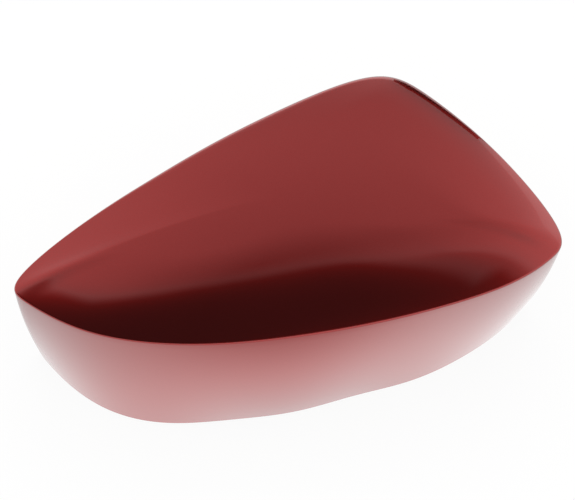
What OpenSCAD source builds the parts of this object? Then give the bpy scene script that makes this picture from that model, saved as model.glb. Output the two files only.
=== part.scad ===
// Wing mirror cover: one injection moulded shell, lying on its open rim.
// Millimetres, +Z up. The rim lies in the plane z = 0 and the origin is under the middle of the box.
// +X runs from the narrow end to the wide end, +Y toward the long straight upper edge.

/* [Outline] */
// drawing net of the shoulder line: below the narrow nose
net_nose_low = [-99.5, 5.5]; // [-120:0.5:120]
// narrow nose, tip
net_nose_tip = [-113.5, 37]; // [-120:0.5:120]
// narrow nose, upper side
net_nose_top = [-115.5, 47.5]; // [-120:0.5:120]
// upper side, nearer the nose
net_upper_a = [-60, 51]; // [-120:0.5:120]
// upper side, nearer the wide end
net_upper_b = [15.5, 48]; // [-120:0.5:120]
// upper corner, start
net_corner_a = [68, 44.5]; // [-120:0.5:120]
// upper corner, end
net_corner_b = [78.5, 27]; // [-120:0.5:120]
// middle of the wide end
net_end = [90, -19.5]; // [-120:0.5:120]
// lower corner of the wide end, start
net_heel_a = [95, -61.5]; // [-120:0.5:120]
// lower corner of the wide end, end
net_heel_b = [84.5, -65.5]; // [-120:0.5:120]
// lower side, nearest the wide end
net_lower_a = [60, -68]; // [-120:0.5:120]
// lower side, second
net_lower_b = [15, -57]; // [-120:0.5:120]
// lower side, third
net_lower_c = [-23.5, -42]; // [-120:0.5:120]
// lower side, nearest the nose
net_lower_d = [-64, -23.5]; // [-120:0.5:120]
// middle that the directions are seen from
hub = [0, 8]; // [-20:1:20]

/* [Face] */
// height of the face at the drawing centre, outside
crown_h = 104; // [96:0.5:108]
// drop of the face per millimetre toward the wide end
tilt_x = 0.025; // [0:0.001:0.06]
// drop of the face per millimetre toward the upper side
tilt_y = 0.058; // [0.02:0.001:0.09]
// radius of the face along its length
bow_x = 410; // [340:10:700]
// radius of the face across its width
bow_y = 260; // [210:10:500]
// drop of the face edge where the lower side faces
roll_near = 15.5; // [12:0.5:18]
// width of the band over which the face edge turns down
roll_band = 42; // [34:1:50]
// how late the face edge turns down in that band
roll_power = 2.4; // [2:0.1:3]
// direction of the strongest drop, seen from the middle
roll_dir = -107; // [-120:1:-98]
// how narrow the region of the drop is
roll_focus = 1.6; // [1.4:0.1:2.6]
// drop of the face edge at the wide end
end_drop = 3.5; // [1.5:0.5:4.5]
// width of the band over which the face edge turns down there
end_band = 20; // [16:1:26]
// direction of that drop, seen from the middle
end_dir = -2; // [-12:1:6]
// how narrow the region of that drop is
end_focus = 3; // [2:0.5:5]

/* [Walls] */
// wall thickness
wall = 2.5; // [2:0.1:3]
// lean of the lower side wall just under the sharp line
lean_top_near = 0.2; // [0.1:0.01:0.25]
// lean of the lower side wall at the rim
lean_rim_near = -0.09; // [-0.12:0.01:0]
// lean of the other walls at the shoulder
lean_top_far = -0.08; // [-0.14:0.01:0]
// lean of the other walls at the rim
lean_rim_far = -0.26; // [-0.3:0.01:-0.15]
// direction of the strongest outward lean, seen from the middle
lean_dir = -127; // [-135:1:-115]
// how narrow the region of the outward lean is
lean_focus = 2.4; // [1.8:0.1:2.8]
// fuller rim under the nose, added to the lean there
full_nose = 0.19; // [0:0.01:0.22]
// direction of that fullness, seen from the middle
full_nose_dir = -177; // [-183:1:-171]
// fuller rim under the lower corner of the wide end
full_heel = 0.14; // [0:0.01:0.18]
// direction of that fullness, seen from the middle
full_heel_dir = -64; // [-70:1:-56]
// how narrow both full places are
full_focus = 24; // [18:1:30]
// reach along the shoulder line over which the direction of the lean is evened out, in spans
lean_even = 0.9; // [0.7:0.1:1.2]

/* [Shoulder] */
// rounding at the sharp line
corner_near = 0.8; // [0.5:0.1:1.5]
// rounding at the soft shoulder
corner_far = 4.5; // [3:0.5:7]
// rounding inside the shell
corner_inside = 6; // [5:0.5:8]
// angle either side of the lower side over which the line stays sharp
sharp_half = 88; // [70:1:100]
// angle over which the line softens into the shoulder
soften_span = 34; // [20:1:50]

/* [Rim] */
// thickness of the stepped edge at the rim
lip_wall = 1.4; // [1:0.1:1.8]
// height of the stepped edge
lip_h = 3; // [1.5:0.5:5]

/* [Snap hooks] */
// width of a snap hook
hook_w = 10; // [7:0.5:14]
// length of a snap hook
hook_len = 18; // [14:1:22]
// thickness of a snap hook
hook_t = 2; // [1.6:0.1:2.6]
// clear space between a hook and the wall
hook_space = 5; // [4:0.5:7]
// reach of the barb
barb = 1.5; // [1:0.1:2]
// height of the rim plane below the foot of a hook
hook_foot = 4; // [3:0.5:8]
// thickness of the two gussets that carry a hook
gusset_t = 1.6; // [1.2:0.1:2]
// free height between the barb and the gussets
barb_clear = 4; // [3:0.5:6]
// height of the gussets over the hook, where they meet the wall
gusset_rise = 6; // [4:0.5:9]

/* [Locating posts] */
// radius of a locating peg
peg_r = 2.5; // [2:0.1:3]
// length of a locating peg
peg_len = 8; // [6:0.5:10]
// radius of the post that carries a peg
post_r = 4; // [3.5:0.1:5]
// height of the foot of a peg over the rim plane
peg_foot = 40; // [30:0.5:55]
// place of the post nearer the nose
post_a = [-50, 12]; // [-60:1:60]
// place of the post nearer the wide end
post_b = [48, -4]; // [-60:1:60]
// reach of the four webs at the root of a post
web_reach = 7; // [5:0.5:10]
// height of the webs
web_h = 26; // [18:1:32]

/* [Ribs] */
// thickness of a stiffening rib
rib_t = 1.4; // [1:0.1:1.8]
// height of a stiffening rib under the skin
rib_h = 6; // [4:0.5:9]
// place of the lengthways rib on the lower side
rib_low_y = -4; // [-10:1:2]
// its two ends
rib_low_ends = [-40, 62]; // [-80:1:80]
// place of the lengthways rib on the upper side
rib_high_y = 24; // [18:1:28]
// its two ends
rib_high_ends = [-80, 58]; // [-90:1:80]
// place of the cross rib nearer the nose
rib_nose_x = -20; // [-28:1:-12]
// its two ends
rib_nose_ends = [-10, 38]; // [-40:1:40]
// place of the cross rib nearer the wide end
rib_wide_x = 18; // [10:1:26]
// its two ends
rib_wide_ends = [-24, 36]; // [-40:1:40]

/* [Hidden] */

net = [net_nose_low, net_nose_tip, net_nose_top, net_upper_a, net_upper_b, net_corner_a, net_corner_b,
    net_end, net_heel_a, net_heel_b, net_lower_a, net_lower_b, net_lower_c, net_lower_d];
spans = len(net);
per_span = 7;
stations = spans * per_span;
face_rows = 9;
corner_rows = 4;
wall_rows = 6;
slope_step = 0.02;

function net_at(i) = net[i % spans];

// point and travel direction of the shoulder line, u in spans
function line_at(u) =
    let (i = floor(u), f = u - i)
    (pow(1 - f, 3) * net_at(i)
        + (3 * pow(f, 3) - 6 * pow(f, 2) + 4) * net_at(i + 1)
        + (-3 * pow(f, 3) + 3 * pow(f, 2) + 3 * f + 1) * net_at(i + 2)
        + pow(f, 3) * net_at(i + 3)) / 6;
function travel_at(u) =
    let (i = floor(u), f = u - i)
    -pow(1 - f, 2) * net_at(i)
        + (3 * pow(f, 2) - 4 * f) * net_at(i + 1)
        + (-3 * pow(f, 2) + 2 * f + 1) * net_at(i + 2)
        + pow(f, 2) * net_at(i + 3);
function outward_at(u) =
    let (d = travel_at(u))
    [-d.y, d.x] / norm(d);

// direction of the wall's lean, evened out so that the wall turns round the tight corners without a fold
function lean_way(u) =
    let (v = u + spans, half = lean_even / 2)
    let (d = outward_at(v - lean_even) + outward_at(v - half) + outward_at(v)
        + outward_at(v + half) + outward_at(v + lean_even))
    d / norm(d);

// bell shaped weight of a direction round the middle
function bell(angle, centre, focus) = pow(0.5 + 0.5 * cos(angle - centre), focus);
function arm_at(u) = line_at(u) - hub;
function angle_at(u) =
    let (p = arm_at(u))
    atan2(p.y, p.x);
function roll_share(u) = bell(angle_at(u), roll_dir, roll_focus);
function end_share(u) = bell(angle_at(u), end_dir, end_focus);

// height of the dome over a point, and the extra drop near the edge
function dome_z(p) =
    crown_h - tilt_x * p.x - tilt_y * p.y - p.x * p.x / (2 * bow_x) - p.y * p.y / (2 * bow_y);
function edge_drop(u, t) =
    let (d = (1 - t) * (arm_at(u) * outward_at(u)))
    roll_near * roll_share(u) * pow(max(1 - d / roll_band, 0), roll_power)
        + end_drop * end_share(u) * pow(max(1 - d / end_band, 0), 2);
function face_pt(u, t) =
    let (p = hub + arm_at(u) * t)
    [p.x, p.y, dome_z(p) - edge_drop(u, t)];

// rise of the face per millimetre toward the middle
function face_slope(u, t) =
    let (a = face_pt(u, t), b = face_pt(u, t * (1 - slope_step)))
    (b.z - a.z) / max(norm([a.x - b.x, a.y - b.y]), 0.001);

function shoulder_z(u) = face_pt(u, 1).z;
function lean_share(u) = bell(angle_at(u), lean_dir, lean_focus);
function lean_top(u) = lean_top_far + (lean_top_near - lean_top_far) * lean_share(u);
function fullness(u) =
    full_nose * bell(angle_at(u), full_nose_dir, full_focus)
        + full_heel * bell(angle_at(u), full_heel_dir, full_focus);
function lean_rim(u) = lean_rim_far + (lean_rim_near - lean_rim_far) * lean_share(u) + fullness(u);

// outward travel and lean of the wall at the height z
function wall_out(u, z) =
    let (h = shoulder_z(u), v = 1 - z / h)
    h * (lean_top(u) * v + (lean_rim(u) - lean_top(u)) * v * v / 2);
function wall_lean(u, z) =
    let (v = 1 - z / shoulder_z(u))
    lean_top(u) + (lean_rim(u) - lean_top(u)) * v;
function wall_pt(u, z, inset) =
    let (p = line_at(u) + lean_way(u) * wall_out(u, z) - outward_at(u) * inset * norm([1, wall_lean(u, z)]))
    [p.x, p.y, z];

// rounding of the shoulder: small along the sharp line, large elsewhere
function turn_from(a, b) = abs((a - b + 540) % 360 - 180);
function smooth(s) = let (c = min(max(s, 0), 1)) c * c * (3 - 2 * c);
function corner_at(u) =
    corner_near + (corner_far - corner_near)
        * smooth((turn_from(angle_at(u), roll_dir) - sharp_half) / soften_span);

function round_pt(a, k, b, q) = a * pow(1 - q, 2) + k * 2 * q * (1 - q) + b * pow(q, 2);
function row_share(k, rows) = 1 - pow(1 - k / rows, 1.35);

function station(s) = spans * s / stations;

// outer skin, rows from the middle of the face to the rim
function outer_end(u) = 1 - corner_at(u) / norm(arm_at(u));
outer_face = [for (k = [1:face_rows])
    [for (s = [0:stations - 1])
        let (u = station(s))
        face_pt(u, outer_end(u) * row_share(k, face_rows))]];
outer_corner = [for (k = [1:corner_rows - 1])
    [for (s = [0:stations - 1])
        let (u = station(s), h = shoulder_z(u))
        round_pt(face_pt(u, outer_end(u)), wall_pt(u, h, 0), wall_pt(u, h - corner_at(u), 0),
            k / corner_rows)]];
outer_wall = [for (k = [0:wall_rows])
    [for (s = [0:stations - 1])
        let (u = station(s))
        wall_pt(u, (shoulder_z(u) - corner_at(u)) * (1 - k / wall_rows), 0)]];

// stepped edge at the rim
lip = [for (z = [0, lip_h])
    [for (s = [0:stations - 1])
        wall_pt(station(s), z, lip_wall)]];

// inner skin, one wall thickness inside, rows from the step to the middle of the face
function face_drop(u, t) = wall * norm([1, face_slope(u, t)]);
function inner_face_pt(u, t) = face_pt(u, t) - [0, 0, face_drop(u, t)];
function inner_end(u) = 1 - (wall + corner_inside) / norm(arm_at(u));
function inner_low(u) = shoulder_z(u) - wall - corner_inside;
function inner_knee(u) = wall_pt(u, shoulder_z(u) - face_drop(u, 1) + wall * face_slope(u, 1), wall);
inner_wall = [for (k = [0:wall_rows])
    [for (s = [0:stations - 1])
        let (u = station(s))
        wall_pt(u, lip_h + (inner_low(u) - lip_h) * k / wall_rows, wall)]];
inner_corner = [for (k = [1:corner_rows - 1])
    [for (s = [0:stations - 1])
        let (u = station(s))
        round_pt(inner_face_pt(u, inner_end(u)), inner_knee(u), wall_pt(u, inner_low(u), wall),
            1 - k / corner_rows)]];
inner_face = [for (k = [face_rows:-1:1])
    [for (s = [0:stations - 1])
        let (u = station(s))
        inner_face_pt(u, inner_end(u) * row_share(k, face_rows))]];

rows = concat(outer_face, outer_corner, outer_wall, lip, inner_wall, inner_corner, inner_face);
crown_out = [hub.x, hub.y, dome_z(hub)];
crown_in = crown_out - [0, 0, wall];

// the origin goes under the middle of the box
outer_pts = [for (row = concat(outer_corner, outer_wall)) for (p = row) p];
box_x = [min([for (p = outer_pts) p.x]), max([for (p = outer_pts) p.x])];
box_y = [min([for (p = outer_pts) p.y]), max([for (p = outer_pts) p.y])];
middle = [(box_x[0] + box_x[1]) / 2, (box_y[0] + box_y[1]) / 2, 0];

skin_color = [0.5, 0.1, 0.1];

module skin() {
    n = stations;
    m = len(rows);
    points = concat([crown_out], [for (row = rows) each row], [crown_in]);
    last = len(points) - 1;
    faces = concat(
        [for (s = [0:n - 1]) [0, 1 + s, 1 + (s + 1) % n]],
        [for (r = [0:m - 2]) for (s = [0:n - 1]) each
            let (a = 1 + r * n + s, b = 1 + r * n + (s + 1) % n)
            [[a, a + n, b], [b, a + n, b + n]]],
        [for (s = [0:n - 1]) [last, 1 + (m - 1) * n + (s + 1) % n, 1 + (m - 1) * n + s]]);
    polyhedron(points = points, faces = faces);
}

// a flat piece of thickness t whose profile stands in the plane of the local x and z
module upright(t) {
    rotate([90, 0, 0]) translate([0, 0, -t / 2]) linear_extrude(t) children();
}

// puts its child at the shoulder line, local x pointing outward
module at_wall(u) {
    p = line_at(u);
    d = outward_at(u);
    translate([p.x, p.y, 0]) rotate([0, 0, atan2(d.y, d.x)]) children();
}

// snap hook inside the wall, carried by two gussets
bite = wall / 2;
gusset_low = hook_foot + 2 * barb + barb_clear;
gusset_high = hook_foot + hook_len + gusset_rise;
module snap_hook(u) {
    tab = wall_out(u, lip_h) - wall - hook_space - hook_t;
    at_wall(u) {
        upright(hook_w) polygon([
            [tab, hook_foot + hook_len],
            [tab, hook_foot],
            [tab + hook_t, hook_foot],
            [tab + hook_t + barb, hook_foot + barb],
            [tab + hook_t + barb, hook_foot + 2 * barb],
            [tab + hook_t, hook_foot + 2 * barb],
            [tab + hook_t, hook_foot + hook_len]]);
        for (side = [-1, 1]) translate([0, side * (hook_w - gusset_t) / 2, 0]) upright(gusset_t) polygon(
            concat(
                [[tab + hook_t / 2, gusset_low]],
                [for (k = [0:4])
                    let (z = gusset_low + (gusset_high - gusset_low) * k / 4)
                    [wall_out(u, z) - bite, z]],
                [[tab + hook_t / 2, hook_foot + hook_len]]));
    }
}

// round post with a locating peg, and webs at its root
module locating_post(p) {
    top = dome_z(p) - bite;
    translate([p.x, p.y, 0]) {
        translate([0, 0, peg_foot + peg_len]) cylinder(r = post_r, h = top - peg_foot - peg_len, $fn = 48);
        translate([0, 0, peg_foot]) cylinder(r = peg_r, h = peg_len + 1, $fn = 48);
        for (turn = [0, 90, 180, 270])
            let (reach = post_r + web_reach, tip = dome_z(p + reach * [cos(turn), sin(turn)]) - bite)
            rotate([0, 0, turn]) upright(rib_t) polygon([
                [0, top - web_h],
                [post_r, top - web_h],
                [reach, tip - rib_h],
                [reach, tip],
                [0, top]]);
    }
}

// stiffening rib along x or y that follows the inner face and tapers out at both ends
rib_steps = 10;
function rib_stations(ends) = [for (k = [0:rib_steps]) ends[0] + (ends[1] - ends[0]) * k / rib_steps];
module long_rib(y, ends) {
    xs = rib_stations(ends);
    translate([0, y, 0]) upright(rib_t) polygon(concat(
        [for (x = xs) [x, dome_z([x, y]) - bite]],
        [for (k = [rib_steps - 1:-1:1]) [xs[k], dome_z([xs[k], y]) - wall - rib_h]]));
}
module cross_rib(x, ends) {
    ys = rib_stations(ends);
    translate([x, 0, 0]) rotate([0, 0, 90]) upright(rib_t) polygon(concat(
        [for (y = ys) [y, dome_z([x, y]) - bite]],
        [for (k = [rib_steps - 1:-1:1]) [ys[k], dome_z([x, ys[k]]) - wall - rib_h]]));
}

hook_places = [2.3, 3.7, 5.5, 6.4, 9.7, 10.8, 11.9];

module mirror_cover() {
    color(skin_color) translate(-middle) {
        skin();
        for (u = hook_places) snap_hook(u);
        locating_post(post_a);
        locating_post(post_b);
        long_rib(rib_low_y, rib_low_ends);
        long_rib(rib_high_y, rib_high_ends);
        cross_rib(rib_nose_x, rib_nose_ends);
        cross_rib(rib_wide_x, rib_wide_ends);
    }
}

mirror_cover();
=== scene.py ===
# Wing mirror cover: one moulded shell, painted outside and bare inside, lying on its open rim.
import math
import bpy
import numpy as np
from mathutils import Matrix, Vector


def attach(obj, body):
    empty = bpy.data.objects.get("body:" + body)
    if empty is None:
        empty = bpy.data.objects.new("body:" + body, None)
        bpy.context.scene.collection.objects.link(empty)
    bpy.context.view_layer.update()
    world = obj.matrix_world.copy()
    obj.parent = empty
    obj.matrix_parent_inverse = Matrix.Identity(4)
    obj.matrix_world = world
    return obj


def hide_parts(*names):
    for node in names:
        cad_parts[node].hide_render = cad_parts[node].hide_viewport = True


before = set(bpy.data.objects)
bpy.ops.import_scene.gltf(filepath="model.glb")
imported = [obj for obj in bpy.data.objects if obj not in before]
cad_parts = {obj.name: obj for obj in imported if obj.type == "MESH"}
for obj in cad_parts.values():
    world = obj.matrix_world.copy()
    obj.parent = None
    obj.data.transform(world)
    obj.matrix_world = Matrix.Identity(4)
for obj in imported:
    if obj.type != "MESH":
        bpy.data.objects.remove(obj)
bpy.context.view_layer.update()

MM = 0.001

# Driving sizes of the cover, in millimetres and degrees, as in the part's source.
# Net of the shoulder line, and the point that the rows of the face run out from.
NET = np.array([
    [-99.5, 5.5], [-113.5, 37], [-115.5, 47.5],
    [-60, 51], [15.5, 48],
    [68, 44.5], [78.5, 27], [90, -19.5],
    [95, -61.5], [84.5, -65.5],
    [60, -68], [15, -57], [-23.5, -42], [-64, -23.5]])
HUB = np.array([0.0, 8.0])
SPANS = len(NET)

# Dome of the face, with its roll toward the lower side and a small one at the wide end.
CROWN_H = 104.0
TILT_X = 0.025
TILT_Y = 0.058
BOW_X = 410.0
BOW_Y = 260.0
ROLL_NEAR = 15.5
ROLL_BAND = 42.0
ROLL_POWER = 2.4
ROLL_DIR = -107.0
ROLL_FOCUS = 1.6
END_DROP = 3.5
END_BAND = 20.0
END_POWER = 2
END_DIR = -2.0
END_FOCUS = 3.0

# Side wall: its thickness, its lean at the top and at the rim, and the fuller places of the rim.
WALL = 2.5
LEAN_TOP_NEAR = 0.2
LEAN_RIM_NEAR = -0.09
LEAN_TOP_FAR = -0.08
LEAN_RIM_FAR = -0.26
LEAN_DIR = -127.0
LEAN_FOCUS = 2.4
FULL_NOSE = 0.19
FULL_NOSE_DIR = -177.0
FULL_HEEL = 0.14
FULL_HEEL_DIR = -64.0
FULL_FOCUS = 24.0
LEAN_EVEN = 0.9
EVEN_STEPS = (-1, -0.5, 0, 0.5, 1)

# Corner between face and wall, sharp along the lower side, and the stepped edge at the rim.
CORNER_NEAR = 0.8
CORNER_FAR = 4.5
CORNER_INSIDE = 6.0
SHARP_HALF = 88.0
SOFTEN_SPAN = 34.0
LIP_WALL = 1.4
LIP_H = 3.0

# Snap hooks, placed by their spans along the shoulder line.
HOOK_W = 10.0
HOOK_LEN = 18.0
HOOK_T = 2.0
HOOK_SPACE = 5.0
BARB = 1.5
HOOK_FOOT = 4.0
GUSSET_T = 1.6
BARB_CLEAR = 4.0
GUSSET_RISE = 6.0
HOOK_PLACES = [2.3, 3.7, 5.5, 6.4, 9.7, 10.8, 11.9]

# Posts with locating pegs, and stiffening ribs.
PEG_R = 2.5
PEG_LEN = 8.0
POST_R = 4.0
PEG_FOOT = 40.0
PEG_ROOT = 1.0
POSTS = [np.array([-50.0, 12.0]), np.array([48.0, -4.0])]
WEBS = 4
WEB_REACH = 7.0
WEB_H = 26.0
RIB_T = 1.4
RIB_H = 6.0
RIBS = [
    ((-40, -4), (62, -4)), ((-80, 24), (58, 24)),
    ((-20, -10), (-20, 38)), ((18, -24), (18, 36))]

# Hooks, posts and ribs end inside the wall, this far below its outer face.
BITE = WALL / 2

# Fineness of the mesh, and the share that keeps the finer facets inside the solid's box.
PER_SPAN = 24
FACE_ROWS = 48
FACE_CROWDING = 1.35
CORNER_ROWS = 8
WALL_ROWS = 20
GUSSET_ROWS = 4
RIB_STEPS = 10
BAR_SIDES = 64
SLOPE_STEP = 0.02
LEAST_RUN = 0.001
SHARP_ANGLE = 35.0
WITHIN_BOX = 0.9995

# Red metallic paint: flake and a wider cloudiness under a clear coat.
PAINT_DEEP = (0.345, 0.010, 0.008, 1)
PAINT_BRIGHT = (0.43, 0.018, 0.015, 1)
FLAKE_SCALE = 2600.0
FLAKE_DETAIL = 1.0
CLOUD_SCALE = 14.0
CLOUD_DETAIL = 2.0
PAINT_ROUGHNESS = 0.28
PAINT_CLOUDINESS = 0.03
CLEAR_COAT_ROUGHNESS = 0.015
CLEAR_COAT_IOR = 1.55

# Bare grey plastic with a fine grain.
PLASTIC_DEEP = (0.045, 0.046, 0.048, 1)
PLASTIC_BRIGHT = (0.075, 0.076, 0.078, 1)
GRAIN_SCALE = 900.0
GRAIN_DETAIL = 2.0
GRAIN_STRENGTH = 0.15
GRAIN_DEPTH = 0.0002
PLASTIC_ROUGHNESS = 0.48
PLASTIC_UNEVENNESS = 0.12

# Camera, where the photograph was taken from. Azimuth 0 is straight in front of the cover, at -y,
# and azimuths grow toward +x.
VIEW_AZIMUTH = -32.6
VIEW_ELEVATION = 69.0
VIEW_DISTANCE = 1.0
AIM = Vector((0.01007, 0.01743, 0.04028))
SENSOR = 36.0
FOCAL_PIXELS = 2310.0
PICTURE_WIDTH = 575
LENS = FOCAL_PIXELS / PICTURE_WIDTH * SENSOR

# Room as reflections see it. Tones run from 0 to 1, and azimuths count from the camera's. A pair is
# where a soft edge starts and ends: how far a direction leans toward the azimuth, or upward.
CEILING_TONE = 0.24
HORIZON_TONE = 0.90
FAR_WALL_SHADE = 0.28
FAR_WALL_AZIMUTH = 174.0
FAR_WALL_EDGE = (0.60, 0.95)

# Near side of the room, behind the camera. Its upper edge dips and then rises toward the left.
NEAR_SIDE_AZIMUTH = -9.0
NEAR_SIDE_EDGE = (0.12, 0.28)
NEAR_SIDE_FOOT = (0.02, 0.10)
LEFT_AZIMUTH = -90.0
LEFT_DIP = 0.06
LEFT_DIP_EDGE = (0.15, 0.45)
LEFT_RISE = 0.12
LEFT_RISE_EDGE = (0.60, 0.76)

# Grey part and dark part of the near side, and where each ends on the right. The dark part
# reaches further round low down.
QUARTER_TURN = 90.0
GREY_SIDE_TONE = 0.36
GREY_SIDE_END = 61.0
GREY_SIDE_EDGE = (-0.05, 0.05)
DARK_SIDE_TONE = 0.07
DARK_SIDE_END = 45.0
DARK_SIDE_EDGE = (-0.06, 0.06)
LOW_SIDE_END = 55.0
LOW_SIDE_TOP = (0.30, 0.46)

# Floor, with a painted pool of light round the cover, painted shade close under it and a greyer
# painted ring round it. A pair is where a soft edge starts and ends, in reaches of the pool.
FLOOR_PLACE = (0.0, 0.0, -0.0002)
FLOOR_OUTLINE = [(-6, -6), (6, -6), (6, 6), (-6, 6)]
FLOOR_COLOUR = (0.9, 0.9, 0.9, 1)
FLOOR_GLOW = 0.92
POOL_MIDDLE = (-0.010, -0.004, 0.0)
POOL_REACH = (0.115, 0.090, 1.0)
POOL_BRIGHT = 1.12
POOL_FALL = 0.5
POOL_EDGE = (0.80, 1.60)
POOL_PAINTED_SHADE = 0.12
POOL_PAINTED_SHADE_EDGE = (0.42, 0.75)
POOL_FAR = 0.5
POOL_FAR_EDGE = (2.0, 3.2)

# Dark card on the far side, with an arched top. Only reflections see it, as the thin dark line
# along the cover's far edge.
FAR_CARD_COLOUR = (0.02, 0.015, 0.015, 1)
FAR_CARD_AZIMUTH = VIEW_AZIMUTH + 156.0
FAR_CARD_DISTANCE = 0.35
FAR_CARD_OUTLINE = [
    (-0.045, 0), (0.110, 0), (0.110, 0.086), (0.070, 0.112),
    (0.034, 0.127), (0.004, 0.134), (-0.020, 0.128), (-0.040, 0.105)]

# Area lamp over the cover.
LAMP_SIZE = 2.0
LAMP_POWER = 22.0
LAMP_PLACE = (0.0, 0.0, 1.3)


def shoulder_line(u):
    """Points and outward directions of the shoulder line, u counted in spans of the net."""
    i = np.floor(u).astype(int)
    f = u - i
    share = [(1 - f) ** 3, 3 * f ** 3 - 6 * f ** 2 + 4,
             -3 * f ** 3 + 3 * f ** 2 + 3 * f + 1, f ** 3]
    turn = [-(1 - f) ** 2, 3 * f ** 2 - 4 * f, -3 * f ** 2 + 2 * f + 1, f ** 2]
    point = sum(share[k][:, None] * NET[(i + k) % SPANS] for k in range(4)) / 6
    travel = sum(turn[k][:, None] * NET[(i + k) % SPANS] for k in range(4))
    travel /= np.linalg.norm(travel, axis=1)[:, None]
    return point, np.stack([-travel[:, 1], travel[:, 0]], axis=1)


def bell(angle, centre, focus):
    """1 toward the centre angle, and less and less away from it."""
    return (0.5 + 0.5 * np.cos(np.radians(angle - centre))) ** focus


def turned(angle, centre):
    """How many degrees an angle lies off the centre angle, to either side."""
    return np.abs((angle - centre + 540) % 360 - 180)


def smooth(share):
    share = np.clip(share, 0, 1)
    return share * share * (3 - 2 * share)


def dome_z(p):
    """Height of the dome over points in the plane."""
    x, y = p[..., 0], p[..., 1]
    return CROWN_H - TILT_X * x - TILT_Y * y - x * x / (2 * BOW_X) - y * y / (2 * BOW_Y)


class Outline:
    """The shell's form at stations round the shoulder line."""

    def __init__(self, u):
        u = np.asarray(u, dtype=float)
        self.line, self.out = shoulder_line(u)
        self.arm = self.line - HUB
        self.reach = np.linalg.norm(self.arm, axis=1)
        self.depth = (self.arm * self.out).sum(axis=1)
        self.angle = np.degrees(np.arctan2(self.arm[:, 1], self.arm[:, 0]))
        self.lean_way = sum(shoulder_line(u + SPANS + k * LEAN_EVEN)[1] for k in EVEN_STEPS)
        self.lean_way /= np.linalg.norm(self.lean_way, axis=1)[:, None]
        self.roll = ROLL_NEAR * bell(self.angle, ROLL_DIR, ROLL_FOCUS)
        self.end_roll = END_DROP * bell(self.angle, END_DIR, END_FOCUS)
        lean = bell(self.angle, LEAN_DIR, LEAN_FOCUS)
        self.lean_top = LEAN_TOP_FAR + (LEAN_TOP_NEAR - LEAN_TOP_FAR) * lean
        self.lean_rim = LEAN_RIM_FAR + (LEAN_RIM_NEAR - LEAN_RIM_FAR) * lean
        self.lean_rim += FULL_NOSE * bell(self.angle, FULL_NOSE_DIR, FULL_FOCUS)
        self.lean_rim += FULL_HEEL * bell(self.angle, FULL_HEEL_DIR, FULL_FOCUS)
        soften = smooth((turned(self.angle, ROLL_DIR) - SHARP_HALF) / SOFTEN_SPAN)
        self.corner = CORNER_NEAR + (CORNER_FAR - CORNER_NEAR) * soften
        self.top = self.face(1.0)[:, 2]

    def face(self, t):
        """Points of the face, at share t of the way from the hub to the shoulder line."""
        t = np.broadcast_to(t, self.reach.shape)
        p = HUB + self.arm * t[:, None]
        inward = (1 - t) * self.depth
        drop = self.roll * np.maximum(1 - inward / ROLL_BAND, 0) ** ROLL_POWER
        drop += self.end_roll * np.maximum(1 - inward / END_BAND, 0) ** END_POWER
        return np.column_stack([p, dome_z(p) - drop])

    def slope(self, t):
        """How steeply the face falls toward the outline."""
        t = np.broadcast_to(t, self.reach.shape)
        a, b = self.face(t), self.face(t * (1 - SLOPE_STEP))
        run = np.maximum(np.linalg.norm((a - b)[:, :2], axis=1), LEAST_RUN)
        return (b[:, 2] - a[:, 2]) / run

    def wall_out(self, z):
        """How far the wall at height z stands outside the shoulder line."""
        v = 1 - z / self.top
        return self.top * (self.lean_top * v + (self.lean_rim - self.lean_top) * v * v / 2)

    def wall(self, z, inset=0.0):
        """Points at height z, inset from the outer face of the wall."""
        z = np.broadcast_to(z, self.reach.shape)
        lean = self.lean_top + (self.lean_rim - self.lean_top) * (1 - z / self.top)
        inward = self.out * (inset * np.sqrt(1 + lean * lean))[:, None]
        shift = self.lean_way * self.wall_out(z)[:, None] - inward
        return np.column_stack([self.line + shift, z])

    def face_drop(self, t):
        """The face's thickness measured straight down."""
        return WALL * np.sqrt(1 + self.slope(t) ** 2)

    def inner_face(self, t):
        p = self.face(t)
        p[:, 2] -= self.face_drop(t)
        return p


def rounded(a, knee, b, q):
    """Points at share q along a rounded corner from a to b."""
    return a * (1 - q) ** 2 + knee * 2 * q * (1 - q) + b * q * q


def face_share(k):
    """Where row k of the face lies, with the rows closer together toward the shoulder line."""
    return 1 - (1 - k / FACE_ROWS) ** FACE_CROWDING


def outer_rows(form):
    """Rows of the painted skin, from the middle of the face to the rim."""
    end = 1 - form.corner / form.reach
    start_z = form.top - form.corner
    knee = np.column_stack([form.line, form.top])
    rows = [form.face(end * face_share(k)) for k in range(1, FACE_ROWS + 1)]
    rows += [rounded(form.face(end), knee, form.wall(start_z), k / CORNER_ROWS)
             for k in range(1, CORNER_ROWS)]
    rows += [form.wall(start_z * (1 - k / WALL_ROWS)) for k in range(WALL_ROWS + 1)]
    return rows


def lip_rows(form):
    """Rows of the stepped edge, inside the rim."""
    return [form.wall(z, LIP_WALL) for z in (0.0, LIP_H)]


def inner_rows(form):
    """Rows of the bare skin, from the step at the rim to the middle of the face."""
    end = 1 - (WALL + CORNER_INSIDE) / form.reach
    low = form.top - WALL - CORNER_INSIDE
    knee = form.wall(form.top - form.face_drop(1.0) + WALL * form.slope(1.0), WALL)
    rows = [form.wall(LIP_H + (low - LIP_H) * k / WALL_ROWS, WALL) for k in range(WALL_ROWS + 1)]
    rows += [rounded(form.inner_face(end), knee, form.wall(low, WALL), 1 - k / CORNER_ROWS)
             for k in range(1, CORNER_ROWS)]
    rows += [form.inner_face(end * face_share(k)) for k in range(FACE_ROWS, 0, -1)]
    return rows


def band(start, n):
    """Faces between a ring of n points, numbered from start on, and the ring after it."""
    return [(start + k, start + (k + 1) % n, start + n + (k + 1) % n, start + n + k)
            for k in range(n)]


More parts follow.
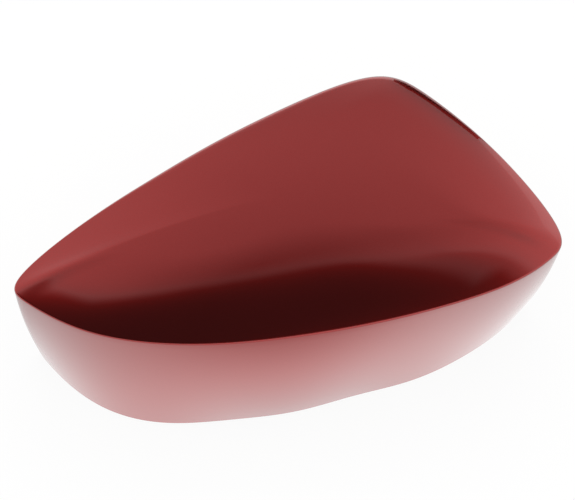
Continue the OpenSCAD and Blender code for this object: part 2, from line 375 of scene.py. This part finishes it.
class Moulding:
    """Gathers the points and faces of the one moulding, each face with the number of its finish."""

    PAINT = 0
    BARE = 1

    def __init__(self):
        self.points = []
        self.faces = []
        self.finish = []

    def add(self, points, faces_by_finish):
        start = len(self.points)
        self.points.extend(tuple(p) for p in points)
        for finish, faces in faces_by_finish.items():
            self.faces.extend(tuple(start + i for i in face) for face in faces)
            self.finish.extend([finish] * len(faces))

    def prism(self, profile, thickness, place):
        """A flat piece whose profile stands in the local x and z plane."""
        n = len(profile)
        half = thickness / 2
        points = [place @ Vector((x, side * half, z)) for side in (-1, 1) for x, z in profile]
        ends = [tuple(range(n))[::-1], tuple(range(n, 2 * n))]
        self.add(points, {self.BARE: band(0, n) + ends})

    def round_bar(self, centre, radius, low, high):
        """An upright bar. Its upper end lies inside what carries it and stays open."""
        turns = [2 * math.pi * k / BAR_SIDES for k in range(BAR_SIDES)]
        ring = [(centre[0] + radius * math.cos(a), centre[1] + radius * math.sin(a)) for a in turns]
        points = [(x, y, z) for z in (low, high) for x, y in ring]
        foot = tuple(range(BAR_SIDES))[::-1]
        self.add(points, {self.BARE: band(0, BAR_SIDES) + [foot]})


def skins(moulding, form):
    """Outer skin, rim and inner skin as one closed surface, painted as far as the rim's edge."""
    n = len(form.reach)
    outer = outer_rows(form)
    rows = outer + lip_rows(form) + inner_rows(form)
    crown = np.array([HUB[0], HUB[1], dome_z(HUB)])
    points = np.vstack([crown[None]] + rows + [(crown - [0, 0, WALL])[None]])
    paint = [(0, 1 + (s + 1) % n, 1 + s) for s in range(n)]
    bare = []
    for r in range(len(rows) - 1):
        skin = paint if r < len(outer) else bare
        skin += band(1 + r * n, n)
    last = len(points) - 1
    bare += [(last, last - n + s, last - n + (s + 1) % n) for s in range(n)]
    moulding.add(points, {Moulding.PAINT: paint, Moulding.BARE: bare})


def snap_hook(moulding, u):
    """A hook with a barb inside the wall, carried by two gussets."""
    form = Outline([u])
    facing = math.atan2(form.out[0, 1], form.out[0, 0])
    middle = Matrix.Translation((form.line[0, 0], form.line[0, 1], 0))
    place = middle @ Matrix.Rotation(facing, 4, "Z")
    tab = form.wall_out(LIP_H)[0] - WALL - HOOK_SPACE - HOOK_T
    face = tab + HOOK_T
    top = HOOK_FOOT + HOOK_LEN
    moulding.prism([
        (tab, top), (tab, HOOK_FOOT), (face, HOOK_FOOT), (face + BARB, HOOK_FOOT + BARB),
        (face + BARB, HOOK_FOOT + 2 * BARB), (face, HOOK_FOOT + 2 * BARB), (face, top)],
        HOOK_W, place)
    low = HOOK_FOOT + 2 * BARB + BARB_CLEAR
    heights = [low + (top + GUSSET_RISE - low) * k / GUSSET_ROWS for k in range(GUSSET_ROWS + 1)]
    gusset = [(tab + HOOK_T / 2, low)]
    gusset += [(form.wall_out(z)[0] - BITE, z) for z in heights]
    gusset += [(tab + HOOK_T / 2, top)]
    for side in (-1, 1):
        beside = Matrix.Translation((0, side * (HOOK_W - GUSSET_T) / 2, 0))
        moulding.prism(gusset, GUSSET_T, place @ beside)


def locating_post(moulding, p):
    """A round post with a locating peg, and webs at its root."""
    top = dome_z(p) - BITE
    shoulder = PEG_FOOT + PEG_LEN
    moulding.round_bar(p, POST_R, shoulder, top)
    moulding.round_bar(p, PEG_R, PEG_FOOT, shoulder + PEG_ROOT)
    reach = POST_R + WEB_REACH
    for k in range(WEBS):
        turn = k * 2 * math.pi / WEBS
        tip = dome_z(p + reach * np.array([math.cos(turn), math.sin(turn)])) - BITE
        place = Matrix.Translation((p[0], p[1], 0)) @ Matrix.Rotation(turn, 4, "Z")
        moulding.prism([
            (0, top - WEB_H), (POST_R, top - WEB_H), (reach, tip - RIB_H), (reach, tip), (0, top)],
            RIB_T, place)


def stiffening_rib(moulding, start, end):
    """A rib that follows the inner face and tapers out at both ends."""
    start, end = np.array(start, dtype=float), np.array(end, dtype=float)
    run = end - start
    length = np.linalg.norm(run)
    upper = [(length * k / RIB_STEPS, dome_z(start + run * k / RIB_STEPS) - BITE)
             for k in range(RIB_STEPS + 1)]
    lower = [(x, z + BITE - WALL - RIB_H) for x, z in upper[-2:0:-1]]
    turn = math.atan2(run[1], run[0])
    place = Matrix.Translation((start[0], start[1], 0)) @ Matrix.Rotation(turn, 4, "Z")
    moulding.prism(upper + lower, RIB_T, place)


def mirror_cover():
    """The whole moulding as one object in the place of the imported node."""
    moulding = Moulding()
    form = Outline(np.arange(SPANS * PER_SPAN) / PER_SPAN)
    skins(moulding, form)
    for u in HOOK_PLACES:
        snap_hook(moulding, u)
    for p in POSTS:
        locating_post(moulding, p)
    for start, end in RIBS:
        stiffening_rib(moulding, start, end)

    edge = np.vstack(outer_rows(form))
    middle = (edge.min(axis=0) + edge.max(axis=0)) / 2
    unit = MM * WITHIN_BOX
    points = [((x - middle[0]) * unit, (y - middle[1]) * unit, z * unit)
              for x, y, z in moulding.points]
    mesh = bpy.data.meshes.new("moulded_cover")
    mesh.from_pydata(points, [], moulding.faces)
    mesh.polygons.foreach_set("material_index", moulding.finish)
    mesh.polygons.foreach_set("use_smooth", [True] * len(mesh.polygons))
    mesh.set_sharp_from_angle(angle=math.radians(SHARP_ANGLE))
    mesh.update()
    cover = bpy.data.objects.new("moulded_cover", mesh)
    bpy.context.collection.objects.link(cover)
    return cover


class Sock:
    """A shader socket that takes part in sums and products."""

    def __init__(self, nodes, socket):
        self.nodes = nodes
        self.socket = socket

    def maths(self, operation, a, b):
        return self.nodes.add("ShaderNodeMath", {"operation": operation}, {0: a, 1: b})[0]

    def __add__(self, other):
        return self.maths("ADD", self, other)

    __radd__ = __add__

    def __sub__(self, other):
        return self.maths("SUBTRACT", self, other)

    def __rsub__(self, other):
        return self.maths("SUBTRACT", other, self)

    def __mul__(self, other):
        return self.maths("MULTIPLY", self, other)

    __rmul__ = __mul__

    def highest(self, other):
        return self.maths("MAXIMUM", self, other)


class Nodes:
    """The node tree of one material, or of the world."""

    def __init__(self, owner):
        self.owner = owner
        owner.use_nodes = True
        self.tree = owner.node_tree
        self.tree.nodes.clear()

    def add(self, kind, settings=None, inputs=None):
        """A node with its settings made first, then its values and links. Gives its outputs."""
        node = self.tree.nodes.new(kind)
        for name, value in (settings or {}).items():
            setattr(node, name, value)
        for name, value in (inputs or {}).items():
            if isinstance(value, Sock):
                self.tree.links.new(value.socket, node.inputs[name])
            else:
                node.inputs[name].default_value = value
        return [Sock(self, socket) for socket in node.outputs]

    def rise(self, value, edge):
        """0 below a soft edge, 1 above it, and a smooth change between."""
        low, high = edge
        return self.add("ShaderNodeMapRange", {"interpolation_type": "SMOOTHSTEP"}, {
            0: value, 1: low, 2: high})[0]

    def speckle(self, scale, detail):
        """Noise that is fixed to the object."""
        place = self.add("ShaderNodeTexCoord")[3]
        return self.add("ShaderNodeTexNoise", None, {
            "Vector": place, "Scale": scale, "Detail": detail})[0]

    def between(self, share, deep, bright):
        """A colour between two."""
        return self.add("ShaderNodeMix", {"data_type": "RGBA"}, {0: share, 6: deep, 7: bright})[2]

    def grey(self, level):
        return self.add("ShaderNodeCombineColor", None, {0: level, 1: level, 2: level})[0]

    def vector(self, operation, *values):
        return self.add("ShaderNodeVectorMath", {"operation": operation}, dict(enumerate(values)))

    def surface(self, shader):
        self.add("ShaderNodeOutputMaterial", None, {"Surface": shader})
        return self.owner


def metallic_paint():
    """Deep red metallic body paint under a clear coat."""
    nodes = Nodes(bpy.data.materials.new("red_metallic_paint"))
    flake = nodes.speckle(FLAKE_SCALE, FLAKE_DETAIL)
    cloud = nodes.speckle(CLOUD_SCALE, CLOUD_DETAIL)
    return nodes.surface(nodes.add("ShaderNodeBsdfPrincipled", None, {
        "Base Color": nodes.between(flake, PAINT_DEEP, PAINT_BRIGHT), "Metallic": 1.0,
        "Roughness": PAINT_ROUGHNESS + PAINT_CLOUDINESS * cloud, "Coat Weight": 1.0,
        "Coat Roughness": CLEAR_COAT_ROUGHNESS, "Coat IOR": CLEAR_COAT_IOR})[0])


def bare_plastic():
    """Dark grey moulded plastic with a fine spark-eroded grain."""
    nodes = Nodes(bpy.data.materials.new("bare_grey_plastic"))
    grain = nodes.speckle(GRAIN_SCALE, GRAIN_DETAIL)
    relief = nodes.add("ShaderNodeBump", None, {
        "Height": grain, "Strength": GRAIN_STRENGTH, "Distance": GRAIN_DEPTH})[0]
    return nodes.surface(nodes.add("ShaderNodeBsdfPrincipled", None, {
        "Base Color": nodes.between(grain, PLASTIC_DEEP, PLASTIC_BRIGHT),
        "Roughness": PLASTIC_ROUGHNESS + PLASTIC_UNEVENNESS * grain, "Normal": relief})[0])


def pale_floor():
    """White to the camera. Reflections see the painted pool of light and painted shade. A matt
    share keeps the real shadow.
    """
    nodes = Nodes(bpy.data.materials.new("white_floor_painted_pool"))
    rays = nodes.add("ShaderNodeLightPath")
    camera, glossy, through = rays[0], rays[3], rays[6]
    place = nodes.add("ShaderNodeTexCoord")[3]
    scaled = nodes.vector("DIVIDE", nodes.vector("SUBTRACT", place, POOL_MIDDLE)[0], POOL_REACH)[0]
    off = nodes.vector("LENGTH", scaled)[1]
    # Painted light in the floor's glow: a pool of light, painted shade close under the cover and a
    # greyer ring further out.
    painted_pool = POOL_BRIGHT - POOL_FALL * nodes.rise(off, POOL_EDGE)
    painted_pool = painted_pool * (1 - POOL_PAINTED_SHADE * (1 - nodes.rise(off, POOL_PAINTED_SHADE_EDGE)))
    painted_pool = painted_pool + POOL_FAR * nodes.rise(off, POOL_FAR_EDGE)
    painted_pool = painted_pool * (1 - camera) + camera
    matt = nodes.add("ShaderNodeBsdfDiffuse", None, {"Color": FLOOR_COLOUR})[0]
    light = nodes.add("ShaderNodeEmission", None, {"Color": nodes.grey(painted_pool), "Strength": 1.0})[0]
    glow = camera.highest(glossy).highest(through) * FLOOR_GLOW
    return nodes.surface(nodes.add("ShaderNodeMixShader", None, {0: glow, 1: matt, 2: light})[0])


def black_card():
    nodes = Nodes(bpy.data.materials.new("black_card"))
    return nodes.surface(nodes.add("ShaderNodeBsdfDiffuse", None, {"Color": FAR_CARD_COLOUR})[0])


def flat_sheet(name, place, outline, facing, material):
    """A flat stage sheet whose front looks along facing."""
    mesh = bpy.data.meshes.new(name)
    mesh.from_pydata([(x, y, 0) for x, y in outline], [], [tuple(range(len(outline)))])
    mesh.materials.append(material)
    sheet = bpy.data.objects.new(name, mesh)
    bpy.context.collection.objects.link(sheet)
    sheet.location = place
    sheet.rotation_euler = Vector(facing).to_track_quat("Z", "Y").to_euler()
    return sheet


def away(azimuth, elevation, distance):
    """A place that far from the middle of the cover's footprint."""
    a, e = math.radians(azimuth), math.radians(elevation)
    return Vector((math.sin(a) * math.cos(e), -math.cos(a) * math.cos(e), math.sin(e))) * distance


def studio_room():
    """A ceiling that pales to the horizon, with a grey and a dark part behind the camera."""
    nodes = Nodes(bpy.data.worlds.new("studio_room"))
    x, y, up = nodes.add("ShaderNodeSeparateXYZ", None, {0: nodes.add("ShaderNodeTexCoord")[0]})

    def facing(azimuth):
        """How far a direction leans toward an azimuth counted from the camera's."""
        turn = math.radians(VIEW_AZIMUTH + azimuth)
        return math.sin(turn) * x - math.cos(turn) * y

    def left_of(azimuth, edge):
        """1 on the left of an azimuth, 0 on the right of it."""
        return nodes.rise(facing(azimuth - QUARTER_TURN), edge)

    flat = nodes.add("ShaderNodeMath", {"operation": "SQRT"}, {0: 1 - up * up})[0]
    level = CEILING_TONE + (HORIZON_TONE - CEILING_TONE) * flat
    level = level * (1 - FAR_WALL_SHADE * nodes.rise(facing(FAR_WALL_AZIMUTH), FAR_WALL_EDGE))

    left = facing(LEFT_AZIMUTH)
    toward = facing(NEAR_SIDE_AZIMUTH) - LEFT_DIP * nodes.rise(left, LEFT_DIP_EDGE)
    toward = toward + LEFT_RISE * nodes.rise(left, LEFT_RISE_EDGE)
    near = nodes.rise(toward, NEAR_SIDE_EDGE) * nodes.rise(up, NEAR_SIDE_FOOT)
    grey_side = near * left_of(GREY_SIDE_END, GREY_SIDE_EDGE)
    low_side = left_of(LOW_SIDE_END, DARK_SIDE_EDGE) * (1 - nodes.rise(up, LOW_SIDE_TOP))
    dark_side = near * left_of(DARK_SIDE_END, DARK_SIDE_EDGE).highest(low_side)
    level = level * (1 - grey_side) + GREY_SIDE_TONE * grey_side
    level = level * (1 - dark_side) + DARK_SIDE_TONE * dark_side

    camera = nodes.add("ShaderNodeLightPath")[0]
    shader = nodes.add("ShaderNodeBackground", None, {
        "Color": nodes.grey(level.highest(camera)), "Strength": 1.0})[0]
    nodes.add("ShaderNodeOutputWorld", None, {"Surface": shader})
    return nodes.owner


# Camera.
camera_data = bpy.data.cameras.new("camera")
camera_data.sensor_width = SENSOR
camera_data.lens = LENS
camera = bpy.data.objects.new("camera", camera_data)
bpy.context.collection.objects.link(camera)
back = away(VIEW_AZIMUTH, VIEW_ELEVATION, VIEW_DISTANCE)
camera.location = AIM + back
camera.rotation_euler = back.to_track_quat("Z", "Y").to_euler()
bpy.context.scene.camera = camera
bpy.context.scene.view_settings.view_transform = "Standard"

# The cover. Its materials come in the order of Moulding's finish numbers.
cover = mirror_cover()
cover.data.materials.append(metallic_paint())
cover.data.materials.append(bare_plastic())
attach(cover, "root")
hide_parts("mirror_cover")

# Studio: the floor, the dark card, the soft room and the lamp.
flat_sheet("floor", FLOOR_PLACE, FLOOR_OUTLINE, (0, 0, 1), pale_floor())
card_foot = away(FAR_CARD_AZIMUTH, 0, FAR_CARD_DISTANCE)
card = flat_sheet("far_card", card_foot, FAR_CARD_OUTLINE, -card_foot, black_card())
card.visible_camera = False
card.visible_diffuse = False
card.visible_shadow = False
bpy.context.scene.world = studio_room()

lamp_data = bpy.data.lights.new("floor_lamp", "AREA")
lamp_data.shape = "SQUARE"
lamp_data.size = LAMP_SIZE
lamp_data.energy = LAMP_POWER
lamp = bpy.data.objects.new("floor_lamp", lamp_data)
bpy.context.collection.objects.link(lamp)
lamp.location = LAMP_PLACE
lamp.visible_glossy = False
lamp.visible_camera = False
